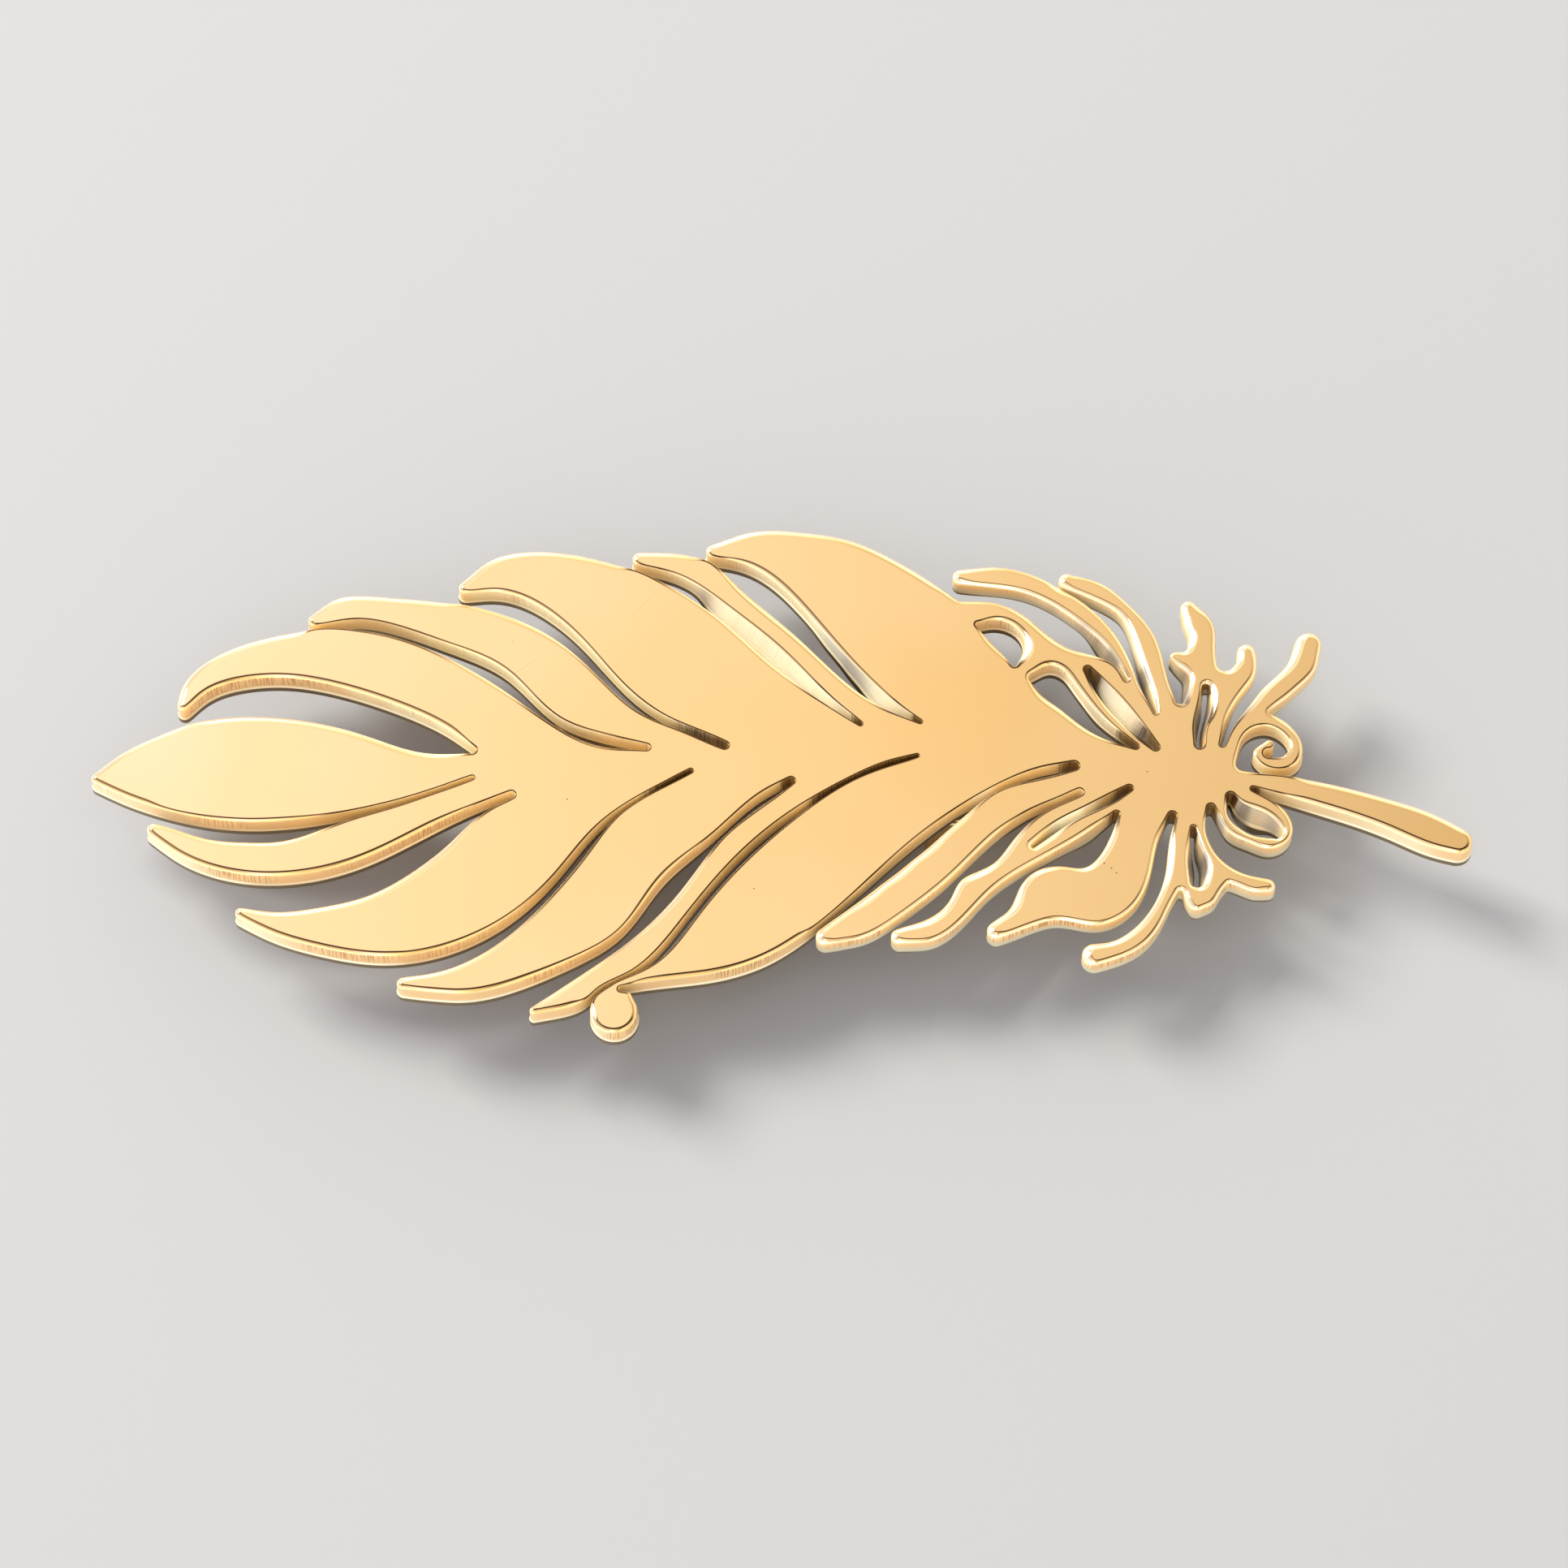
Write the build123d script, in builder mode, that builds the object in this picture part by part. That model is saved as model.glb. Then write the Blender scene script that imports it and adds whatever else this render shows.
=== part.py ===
from build123d import *
import math
import os
from typing import NamedTuple

# A feather brooch: a flat metal feather with its barbs cut apart, lying on the pin back behind it.
# The feather lies along X, from its tip at the left to its quill at the right, face up.

# Driving dimensions of the feather, in millimetres
feather_length = 70.0
feather_width = 28.0
plate_thickness = 1.6

# Driving dimensions of the pin back
stand_off = 4.2          # from the surface it lies on up to the back of the plate
solder_gap = 0.05        # the film of solder between the base bar and the plate
bar_length = 24.0
bar_width = 2.6
bar_thickness = 0.8
foot_width = 5.0         # hinge block and catch, across the feather
hinge_length = 3.4
catch_length = 2.6
foot_radius = 0.4        # of the upright corners of both blocks
wire_diameter = 0.8
wire_clearance = 0.2     # between the wire and the slot of the catch, all round
wire_overhang = 2.0      # how far the point stands out past the catch
point_length = 1.8
point_width = 0.16       # what the sharpened end is blunted to
bar_place = (482, 46)    # the middle of the base bar, in the same shares as the feather's outline


# Every place on the feather is a share of its size: "along" in thousandths of the length from
# the tip, "across" in thousandths of the width, over or under the line of the leaf's middle.
# A radius is in thousandths of the width too.
def place(along, across):
    x = (along - 500) / 1000 * feather_length
    y = across / 1000 * feather_width
    return Vector(x, y)


class Pin(NamedTuple):
    along: float
    across: float
    radius: float


class Fold(NamedTuple):
    name: str
    tip: Pin         # the rounded end of the barb or strand
    inward: tuple    # its edge, from the tip down into the cut
    cut: Pin         # the rounded bottom of the cut beside it
    outward: tuple   # the edge on the cut's other side, out to the next tip or corner
    corner: Pin = None    # one more inner corner before the next tip, where there is one
    beyond: tuple = None  # the edge from that corner out to the next tip


# The barbs of the lower side, from the leaf at the feather's tip to the curled one
lower_barbs = [
    Fold(
        "leaf",
        tip=Pin(5, 14, 12.5),
        inward=((20, -19), (50, -48), (80, -67), (115, -76), (150, -71), (190, -53), (230, -26), (262, 3)),
        cut=Pin(276.5, 13, 4),
        outward=((260, -8), (220, -46), (180, -78), (140, -110), (115, -112), (88, -106), (68, -91)),
    ),
    Fold(
        "second leaf",
        tip=Pin(47.5, -88, 13.5),
        inward=((63, -135), (83, -161), (123, -183), (162, -177), (200, -148), (240, -95), (280, -41)),
        cut=Pin(305, -21, 7),
        outward=((290, -49), (278, -71), (261, -113), (231, -176), (201, -218), (170, -238), (137, -247)),
    ),
    Fold(
        "first lower barb",
        tip=Pin(113, -252, 12),
        inward=((130, -289), (170, -323), (215, -340), (260, -322), (300, -271), (340, -172), (370, -76),
                (400, -19)),
        cut=Pin(434.5, 26.5, 4),
        outward=((415, -6), (385, -57), (360, -138), (330, -235), (290, -325), (250, -368)),
    ),
    Fold(
        "second lower barb",
        tip=Pin(231, -389, 14),
        inward=((250, -409), (275, -412), (310, -392), (350, -347), (385, -289), (415, -186), (450, -101),
                (490, -10)),
        cut=Pin(507, 7, 6.5),
        outward=((480, -55), (460, -100), (430, -199), (390, -311), (350, -385)),
    ),
    Fold(
        "third lower barb",
        tip=Pin(324, -442, 9),
        inward=((350, -437), (362, -421), (369, -403), (390, -372), (430, -265), (470, -138), (510, -49),
                (550, 14), (580, 48)),
        cut=Pin(598.5, 57, 3),
        outward=((560, 18), (520, -47), (480, -137), (440, -259), (405, -361), (378, -396)),
    ),
    Fold(
        "curled barb",
        tip=Pin(381.3, -444, 44),
        inward=((392.6, -407),),
        cut=Pin(386, -401, 4),
        outward=((410, -387), (450, -374), (490, -341), (530, -268), (570, -172), (610, -81), (650, -10),
                 (690, 34)),
        corner=Pin(712, 37, 8),
        beyond=((685, 10), (660, -10), (640, -44), (605, -124), (565, -209), (542, -256)),
    ),
]

# The downy strands of the lower side, and the loop under the quill
lower_down = [
    Fold(
        "first strand",
        tip=Pin(531.5, -298, 17),
        inward=((560, -301), (580, -271), (620, -188), (660, -87), (680, -51), (700, -27)),
        cut=Pin(715.5, -16, 7),
        outward=((690, -56), (666, -112), (652, -155), (629, -188), (621, -226), (605, -262)),
    ),
    Fold(
        "second strand",
        tip=Pin(584.5, -298, 15),
        inward=((607, -309), (631, -266), (652, -208), (690, -143), (722, -92)),
        cut=Pin(741.5, -59, 5),
        outward=((736, -108), (716, -164), (702, -161), (684, -168), (671, -203), (663, -245)),
    ),
    Fold(
        "third strand",
        tip=Pin(654, -286, 17),
        inward=((682, -277), (695, -268), (726, -277), (752, -243), (766, -168), (773, -95)),
        cut=Pin(782, -62, 7),
        outward=((780, -105), (777, -160), (770, -221), (751, -285), (733, -309)),
    ),
    Fold(
        "fourth strand",
        tip=Pin(723.5, -333, 22),
        inward=((745, -338), (761, -312), (774, -265), (781, -228)),
        cut=Pin(786.5, -214, 5),
        outward=((789.5, -226),),
    ),
    Fold(
        "stub",
        tip=Pin(798, -232, 16),
        inward=((809, -236), (816, -210)),
        cut=Pin(821.5, -199, 4),
        outward=((829, -202), (839, -212)),
    ),
    Fold(
        "fifth strand",
        tip=Pin(849.5, -199, 13),
        inward=((836, -179), (820, -157), (809.5, -120), (806, -80)),
        cut=Pin(810, -46, 6),
        outward=((816, -67), (823, -96), (837, -115), (850, -127), (864, -114), (869, -88), (864, -52)),
        corner=Pin(841, -9, 4),
        beyond=((870, -29), (900, -54), (940, -94), (972, -130)),
    ),
]

# The quill, the curl over it, and the downy strands of the upper side
upper_down = [
    Fold(
        "quill",
        tip=Pin(987.5, -111, 28),
        inward=((975, -60), (940, -26), (900, 3), (868, 17), (848, 22)),
        cut=Pin(835.5, 43, 15),
        outward=((831.5, 66), (838, 102), (852, 116), (864, 102), (868.5, 78), (863, 56)),
        corner=Pin(853, 62.5, 8.5),
        beyond=((853.5, 71.1),),
    ),
    Fold(
        "curl",
        tip=Pin(854, 80.5, 9.3),
        inward=((842, 66), (848, 40), (862, 30), (874, 41), (879, 70), (875, 106), (863, 134)),
        cut=Pin(856, 146, 3),
        outward=((864, 165), (879, 199), (890, 232)),
    ),
    Fold(
        "sixth strand",
        tip=Pin(885.5, 284, 24),
        inward=((869, 243), (853, 200), (838, 150), (828, 112)),
        cut=Pin(820, 80, 5),
        outward=((822, 118), (829, 158), (838, 192), (846, 225)),
    ),
    Fold(
        "seventh strand",
        tip=Pin(840.3, 267, 18),
        inward=((832, 246),),
        cut=Pin(824, 245, 15),
        outward=((817.5, 270), (817.5, 316), (812, 347)),
    ),
    Fold(
        "eighth strand",
        tip=Pin(799, 357, 16),
        inward=((795, 322), (798, 296)),
        cut=Pin(792, 281, 13),
        outward=((788, 267),),
    ),
    Fold(
        "spur",
        tip=Pin(786.5, 259, 6),
        inward=((790, 239), (797, 220), (796, 192)),
        cut=Pin(790.5, 172, 8),
        outward=((784, 196), (779, 252), (772, 309), (755, 365), (735, 408)),
    ),
    Fold(
        "ninth strand",
        tip=Pin(710, 414, 15),
        inward=((735, 367), (748, 343), (756, 298), (764, 230)),
        cut=Pin(772.3, 144, 3),
        outward=((763, 187), (756, 240), (736, 333), (708, 393), (680, 430), (655, 442)),
    ),
    Fold(
        "tenth strand",
        tip=Pin(632, 422, 15),
        inward=((650, 401), (680, 387), (717, 329), (742, 262)),
        cut=Pin(751.5, 211, 4),
        outward=((744, 235), (732, 257), (716, 273), (700, 296), (680, 342), (655, 370)),
        corner=Pin(631.5, 382, 9),
        beyond=((610, 415), (590, 450), (550, 501), (515, 517), (475, 516)),
    ),
]

# The barbs of the upper side, from the widest one back to the leaf at the tip
upper_barbs = [
    Fold(
        "fifth upper barb",
        tip=Pin(450, 476, 15),
        inward=((470, 449), (490, 421), (510, 371), (550, 248), (590, 150)),
        cut=Pin(601, 125, 3),
        outward=((580, 146), (550, 201), (510, 306), (470, 401), (445, 456), (420, 474)),
    ),
    Fold(
        "fourth upper barb",
        tip=Pin(396, 460, 15),
        inward=((420, 427), (460, 359), (500, 269), (540, 165)),
        cut=Pin(557.5, 121, 3.5),
        outward=((530, 166), (490, 251), (450, 346), (410, 414), (380, 448), (345, 472), (310, 476),
                 (285, 458)),
    ),
    Fold(
        "third upper barb",
        tip=Pin(268, 400, 14),
        inward=((290, 389), (330, 346), (360, 274), (390, 187), (420, 131), (442, 106)),
        cut=Pin(459, 78, 7),
        outward=((430, 104), (397, 145), (370, 209), (340, 285), (300, 343), (246, 374), (200, 385),
                 (172, 378)),
    ),
    Fold(
        "second upper barb",
        tip=Pin(158, 333, 13),
        inward=((187, 332), (218, 319), (258, 281), (298, 230), (340, 131), (370, 100)),
        cut=Pin(402.5, 74, 6),
        outward=((370, 76), (332, 123), (300, 187), (258, 254), (218, 297), (172, 315), (128, 302),
                 (91, 268), (71, 230), (61.5, 188)),
    ),
    Fold(
        "first upper barb",
        tip=Pin(65, 160, 13),
        inward=((82, 182), (110, 208), (139, 212), (180, 193), (221, 157), (261, 105)),
        cut=Pin(276, 69, 6),
        outward=((240, 68), (200, 101), (160, 129), (120, 140), (80, 131), (40, 92), (18, 59)),
    ),
]


class Slot(NamedTuple):
    name: str
    end: Pin         # its rounded end on the quill's side
    upper: tuple     # its upper side, from that end to the other
    far_end: Pin
    lower: tuple     # its lower side, back again


# The openings that are closed all round
slots = [
    Slot(
        "eye under the widest barb",
        end=Pin(670, 243, 4),
        upper=((676, 270), (676, 300), (668, 323), (655, 331)),
        far_end=Pin(644, 323, 3),
        lower=((651, 297), (661, 268)),
    ),
    Slot(
        "long slot",
        end=Pin(757, 76, 5),
        upper=((738, 122), (723, 166), (712, 207), (704, 232), (696, 238)),
        far_end=Pin(684.5, 216, 8),
        lower=((689, 186), (702, 158), (719, 119), (738, 89)),
    ),
    Slot(
        "second long slot",
        end=Pin(771.5, 74, 6),
        upper=((760, 127), (750, 162), (736, 205)),
        far_end=Pin(723.5, 231, 6),
        lower=((727, 196), (742, 141), (757, 97)),
    ),
    Slot(
        "upright slot",
        end=Pin(803.5, 80, 8),
        upper=((808, 115), (812, 160)),
        far_end=Pin(809.5, 196, 6),
        lower=((804, 162), (800, 115)),
    ),
    Slot(
        "slot in the loop",
        end=Pin(856, -94, 13),
        upper=((855, -69), (845, -52), (833, -38)),
        far_end=Pin(824.5, -24, 6),
        lower=((822, -55), (828, -80), (840, -101)),
    ),
    Slot(
        "slot in the second strand",
        end=Pin(751.5, -8, 6),
        upper=((738, -19), (717, -48), (697, -77)),
        far_end=Pin(681.5, -120, 4),
        lower=((701, -89), (722, -59), (742, -33)),
    ),
    Slot(
        "slot in the fourth strand",
        end=Pin(797, -87, 4),
        upper=((794, -112), (793, -160)),
        far_end=Pin(798.5, -190, 12),
        lower=((806, -158), (801, -118)),
    ),
]


# The outline is a thread: it runs round the pins, and between them it bows through the points
class Turn(NamedTuple):
    pin: Pin
    turns_left: bool
    points: tuple    # on the way to the next turn


def turns_of(folds):
    turns = []
    for fold in folds:
        turns.append(Turn(fold.tip, True, fold.inward))
        turns.append(Turn(fold.cut, False, fold.outward))
        if fold.corner:
            turns.append(Turn(fold.corner, False, fold.beyond))
    return turns


def around(pin, angle):
    reach = pin.radius / 1000 * feather_width
    return place(pin.along, pin.across) + Vector(math.cos(angle), math.sin(angle)) * reach


def touching_angle(turn, point, leaving):
    """The angle on the pin at which a straight thread from the point touches it."""
    to_point = point - place(turn.pin.along, turn.pin.across)
    heading = math.atan2(to_point.Y, to_point.X)
    reach = turn.pin.radius / 1000 * feather_width
    opening = math.acos(min(1.0, reach / to_point.length))
    return heading - opening if turn.turns_left == leaving else heading + opening


def thread(turns):
    """The closed line round all the turns, drawn inside a BuildLine block."""
    arrivals = []
    departures = []
    for number, turn in enumerate(turns):
        before = turns[number - 1]
        arrivals.append(touching_angle(turn, place(*before.points[-1]), leaving=False))
        departures.append(touching_angle(turn, place(*turn.points[0]), leaving=True))
    for number, turn in enumerate(turns):
        sweep = (departures[number] - arrivals[number]) % (2 * math.pi)
        if not turn.turns_left:
            sweep = sweep - 2 * math.pi
        start = around(turn.pin, arrivals[number])
        end = around(turn.pin, departures[number])
        ThreePointArc(start, around(turn.pin, arrivals[number] + sweep / 2), end)
        following = (number + 1) % len(turns)
        landing = around(turns[following].pin, arrivals[following])
        between = [place(*point) for point in turn.points]
        headings = (between[0] - end, landing - between[-1])
        Spline(end, *between, landing, tangents=headings, tangent_scalars=(1, 1))


with BuildSketch() as feather_outline:
    with BuildLine():
        thread(turns_of(lower_barbs + lower_down + upper_down + upper_barbs))
    make_face()
    for slot in slots:
        with BuildLine():
            thread([Turn(slot.end, True, slot.upper), Turn(slot.far_end, True, slot.lower)])
        make_face(mode=Mode.SUBTRACT)

# The middle of the feather's outline stands over the origin
middle = feather_outline.sketch.bounding_box().center()

with BuildPart() as feather_plate:
    with BuildSketch(Plane(origin=(-middle.X, -middle.Y, stand_off))):
        add(feather_outline.sketch)
    extrude(amount=plate_thickness)

# The pin back: a base bar soldered to the plate, with a hinge block, a catch and the wire between
bar = place(*bar_place) - middle
bar_underside = stand_off - solder_gap - bar_thickness
hinge_x = bar.X + (bar_length - hinge_length) / 2
catch_x = bar.X - (bar_length - catch_length) / 2
wire_height = bar_underside / 2
wire_end = catch_x - catch_length / 2 - wire_overhang
slot_height = wire_diameter + 2 * wire_clearance

with BuildPart() as brooch_pin:
    with BuildSketch(Plane.XY.offset(bar_underside)):
        with Locations((bar.X, bar.Y)):
            SlotOverall(bar_length, bar_width)
    extrude(amount=bar_thickness)
    with BuildSketch(Plane.XY):
        with Locations((hinge_x, bar.Y)):
            RectangleRounded(hinge_length, foot_width, foot_radius)
        with Locations((catch_x, bar.Y)):
            RectangleRounded(catch_length, foot_width, foot_radius)
    extrude(amount=bar_underside)

    # The slot of the catch opens to the feather's lower side, and the wire lies at its end
    with BuildSketch(Plane.YZ.offset(catch_x)):
        with Locations((bar.Y, wire_height)):
            Circle(slot_height / 2)
        with Locations((bar.Y - foot_width / 2, wire_height)):
            Rectangle(foot_width, slot_height)
    extrude(amount=catch_length, both=True, mode=Mode.SUBTRACT)

    # The wire, turned about its own line
    with BuildSketch(Plane(origin=(0, bar.Y, wire_height), x_dir=(1, 0, 0), z_dir=(0, -1, 0))):
        with BuildLine():
            Polyline(
                (hinge_x, 0),
                (hinge_x, wire_diameter / 2),
                (wire_end + point_length, wire_diameter / 2),
                (wire_end, point_width / 2),
                (wire_end, 0),
                close=True,
            )
        make_face()
    revolve(axis=Axis((0, bar.Y, wire_height), (1, 0, 0)))

os.makedirs("parts", exist_ok=True)
feather_plate.part.label = "feather_plate"
export_step(feather_plate.part, "parts/feather_plate.step")
brooch_pin.part.label = "brooch_pin"
export_step(brooch_pin.part, "parts/brooch_pin.step")
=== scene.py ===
import math
import bpy
import numpy as np
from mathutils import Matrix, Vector


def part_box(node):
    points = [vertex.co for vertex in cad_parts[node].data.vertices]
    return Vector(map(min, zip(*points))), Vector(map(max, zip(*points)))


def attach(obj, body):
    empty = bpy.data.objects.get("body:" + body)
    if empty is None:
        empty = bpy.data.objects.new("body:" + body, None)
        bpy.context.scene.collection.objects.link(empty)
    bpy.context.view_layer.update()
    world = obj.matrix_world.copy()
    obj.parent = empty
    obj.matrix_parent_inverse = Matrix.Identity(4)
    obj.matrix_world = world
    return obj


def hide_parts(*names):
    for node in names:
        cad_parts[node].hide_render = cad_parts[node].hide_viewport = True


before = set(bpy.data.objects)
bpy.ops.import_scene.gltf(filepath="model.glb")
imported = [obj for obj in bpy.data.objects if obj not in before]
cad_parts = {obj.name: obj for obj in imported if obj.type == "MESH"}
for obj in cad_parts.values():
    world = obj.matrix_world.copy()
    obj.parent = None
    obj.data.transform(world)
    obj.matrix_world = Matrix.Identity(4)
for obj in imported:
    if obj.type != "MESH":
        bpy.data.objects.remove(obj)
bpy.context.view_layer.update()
scene = bpy.context.scene
scene.view_settings.view_transform = "Standard"
mm = 0.001


# small helpers

def clearSelection():
    if bpy.context.object and bpy.context.object.mode != "OBJECT":
        bpy.ops.object.mode_set(mode="OBJECT")
    bpy.ops.object.select_all(action="DESELECT")


def activate(obj):
    clearSelection()
    obj.select_set(True)
    bpy.context.view_layer.objects.active = obj


def smoothStep(low, high, value):
    share = np.clip((value - low) / (high - low), 0.0, 1.0)
    return share * share * (3.0 - 2.0 * share)


class Wire:  # one output of a node; sums written on wires add their Math nodes
    def __init__(self, tree, socket=None):
        self.tree = tree
        self.socket = socket

    def node(self, kind, settings=None, inputs=None, output=0):
        made = self.tree.nodes.new(kind)
        for name, value in (settings or {}).items():
            if name == "stops":
                ramp = made.color_ramp
                while len(ramp.elements) < len(value):
                    ramp.elements.new(0.5)
                for element, (place, colour) in zip(ramp.elements, value):
                    element.position = place
                    element.color = colour
            else:
                setattr(made, name, value)
        for name, value in (inputs or {}).items():
            if isinstance(value, Wire):
                self.tree.links.new(value.socket, made.inputs[name])
            else:
                made.inputs[name].default_value = value
        return Wire(self.tree, made.outputs[output] if len(made.outputs) else None)

    def out(self, name):  # another output of the same node
        return Wire(self.tree, self.socket.node.outputs[name])

    def math(self, operation, *others):
        inputs = dict(enumerate((self,) + others))
        return self.node("ShaderNodeMath", {"operation": operation}, inputs)

    def __add__(self, other):
        return self.math("ADD", other)

    def __sub__(self, other):
        return self.math("SUBTRACT", other)

    def __rsub__(self, other):
        return self.node("ShaderNodeMath", {"operation": "SUBTRACT"}, {0: other, 1: self})

    def __mul__(self, other):
        return self.math("MULTIPLY", other)

    def __truediv__(self, other):
        return self.math("DIVIDE", other)

    def __neg__(self):
        return self.math("MULTIPLY", -1.0)

    __radd__ = __add__
    __rmul__ = __mul__

    def soft(self, low, high):  # 0 below low, 1 above high, smooth between
        return self.node("ShaderNodeMapRange", {"interpolation_type": "SMOOTHSTEP"},
                         {"Value": self, "From Min": low, "From Max": high})

    def mix(self, first, second):  # first where this wire is 0, second where it is 1
        return self.node("ShaderNodeMix", {"data_type": "RGBA"}, {0: self, 6: first, 7: second}, 2)


def newMaterial(name):
    material = bpy.data.materials.new(name)
    material.use_nodes = True
    material.node_tree.nodes.clear()
    return material, Wire(material.node_tree)


def finishMaterial(start, inputs):
    shader = start.node("ShaderNodeBsdfPrincipled", None, inputs)
    start.node("ShaderNodeOutputMaterial", None, {"Surface": shader})


def noise(place, scale, detail):
    return place.node("ShaderNodeTexNoise", None, {"Vector": place, "Scale": scale, "Detail": detail})


def bumps(height, strength, depth):  # depth in metres
    return height.node("ShaderNodeBump", None, {"Height": height, "Strength": strength, "Distance": depth})


# camera, floor and light

view = {
    "lens": 135.0,                     # mm
    "sensor": 36.0,                    # mm
    "elevation": 65.0,                 # degrees above the floor
    "target": (0.189, -0.461, 5.8),    # mm, the point in the middle of the picture
    "distance": 297.45,                # mm
}


def makeCamera():
    camera = bpy.data.objects.new("camera", bpy.data.cameras.new("camera"))
    scene.collection.objects.link(camera)
    camera.data.lens = view["lens"]
    camera.data.sensor_width = view["sensor"]
    camera.data.clip_start = 0.01
    up = math.radians(view["elevation"])
    x, y, z = view["target"]
    back = view["distance"]
    camera.location = (x * mm, (y - back * math.cos(up)) * mm, (z + back * math.sin(up)) * mm)
    camera.rotation_euler = (math.radians(90.0) - up, 0.0, 0.0)
    scene.camera = camera
    print("camera set")


floor = {
    "size": 3.0,                       # m
    "colour": (0.345, 0.335, 0.315, 1.0),
    "roughness": 0.9,
    "gloss": 0.2,
    "grain": 900.0,                    # how fine the paper's grain is
    "grainDepth": 0.00005,             # m
}


def makeFloor():
    clearSelection()
    bpy.ops.mesh.primitive_plane_add(size=floor["size"], location=(0.0, 0.0, 0.0))
    plane = bpy.context.object
    plane.name = "floor"
    material, start = newMaterial("palePaper")
    grain = noise(start.node("ShaderNodeTexCoord", output="Object"), floor["grain"], 3.0)
    finishMaterial(start, {"Base Color": floor["colour"], "Roughness": floor["roughness"],
                           "Specular IOR Level": floor["gloss"],
                           "Normal": bumps(grain, 0.15, floor["grainDepth"])})
    plane.data.materials.append(material)
    print("floor laid")


studio = {
    "peak": 4.0,                       # the brightest value that the sweep may have
    # degrees from overhead towards the camera, and brightness there
    "sweep": ((-90, 1.8), (-70, 1.8), (-56, 1.6), (-46, 1.2), (-40, 1.0), (-15, 1.0), (-13.5, 0.04),
              (-4, 0.04), (-1, 1.0), (8, 1.45), (25, 1.65), (60, 1.6), (90, 1.7)),
    # place from left to right as part of the way, and tint there
    "tint": ((-0.6, (1.15, 1.12, 1.08)), (-0.25, (1.25, 1.25, 1.35)), (-0.15, (1.38, 1.42, 2.00)),
             (-0.11, (1.33, 1.36, 1.80)), (0.0, (1.05, 1.06, 1.10)), (0.11, (0.78, 0.73, 0.64)),
             (0.15, (0.76, 0.70, 0.61)), (0.3, (0.90, 0.88, 0.85)), (0.6, (1.0, 0.98, 0.95))),
    "tintReach": 0.6,                  # the furthest place of the tints
    "tintPeak": 2.4,                   # the brightest value that a tint may have
    # where each of the next ones fades, as parts of the way right (x), left, back (y) and up (z)
    "low": {"x": (-0.3, 0.3), "z": (0.05, 0.62), "left": 2.4, "right": 1.7, "above": 1.0},
    "aside": {"both": (0.35, 0.70), "left": (0.14, 0.24)},
    "darkStrip": {"from": (0.155, 0.18), "to": (0.26, 0.29), "y": (0.45, 0.55), "z": (0.55, 0.75),
                  "dark": 0.5},
    "leftPanel": {"left": (0.28, 0.44), "y": (-0.75, -0.35), "z": (0.78, 0.90), "bright": 1.8,
                  "tint": (0.52, 0.59, 0.74)},
    "backdrop": (0.80, 0.80, 0.79, 1.0),
    "key": {"place": (-0.50, 0.32, 0.62), "size": 0.34, "watts": 10.0},
}


def makeStudio():  # the soft light from all round
    world = bpy.data.worlds.new("studio")
    scene.world = world
    world.use_nodes = True
    world.node_tree.nodes.clear()
    start = Wire(world.node_tree)
    heading = start.node("ShaderNodeTexCoord", output="Generated")
    x = start.node("ShaderNodeSeparateXYZ", None, {"Vector": heading})
    y, z = x.out("Y"), x.out("Z")

    lean = (-y).math("ARCTAN2", z) * (1.0 / math.pi) + 0.5
    peak = studio["peak"]
    stops = [((degrees + 90.0) / 180.0, (value / peak,) * 3 + (1.0,)) for degrees, value in studio["sweep"]]
    sweep = start.node("ShaderNodeValToRGB", {"stops": stops}, {"Fac": lean}) * peak

    low, aside = studio["low"], studio["aside"]
    leftShare = 1.0 - x.soft(*low["x"])
    lowBright = leftShare * (low["left"] - low["right"]) + (low["right"] - low["above"])
    side = (1.0 - z.soft(*low["z"])) * lowBright + low["above"]
    sideShare = x.math("ABSOLUTE").soft(*aside["both"]).math("MAXIMUM", (-x).soft(*aside["left"]))
    around = sweep * (1.0 - sideShare) + side * sideShare

    strip, panel = studio["darkStrip"], studio["leftPanel"]
    dark = x.soft(*strip["from"]) * (1.0 - x.soft(*strip["to"])) * z.soft(*strip["z"])
    dark = dark * (1.0 - y.soft(*strip["y"])) * strip["dark"]
    panelShare = (-x).soft(*panel["left"]) * (1.0 - z.soft(*panel["z"])) * y.soft(*panel["y"])
    bright = (around * (1.0 - panelShare) + panelShare * panel["bright"]) * (1.0 - dark)

    reach, top = studio["tintReach"], studio["tintPeak"]
    stops = [((place + reach) / (2.0 * reach), tuple(c / top for c in colour) + (1.0,))
             for place, colour in studio["tint"]]
    tint = start.node("ShaderNodeValToRGB", {"stops": stops}, {"Fac": (x + reach) / (2.0 * reach)})
    tint = panelShare.mix(tint, tuple(c / top for c in panel["tint"]) + (1.0,))
    light = start.node("ShaderNodeBackground", None, {"Color": tint, "Strength": bright * top})
    plain = start.node("ShaderNodeBackground", None, {"Color": studio["backdrop"], "Strength": 1.0})
    seen = start.node("ShaderNodeLightPath", output="Is Camera Ray")
    both = start.node("ShaderNodeMixShader", None, {0: seen, 1: light, 2: plain})
    start.node("ShaderNodeOutputWorld", None, {"Surface": both})
    print("studio set")


def makeKeyLamp():
    key = studio["key"]
    lamp = bpy.data.lights.new("key", "AREA")
    lamp.size = key["size"]
    lamp.energy = key["watts"]
    lampObject = bpy.data.objects.new("key", lamp)
    scene.collection.objects.link(lampObject)
    lampObject.location = key["place"]
    lampObject.rotation_euler = (-Vector(key["place"])).to_track_quat("-Z", "Y").to_euler()
    print("key lamp set")


# the feather

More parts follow.
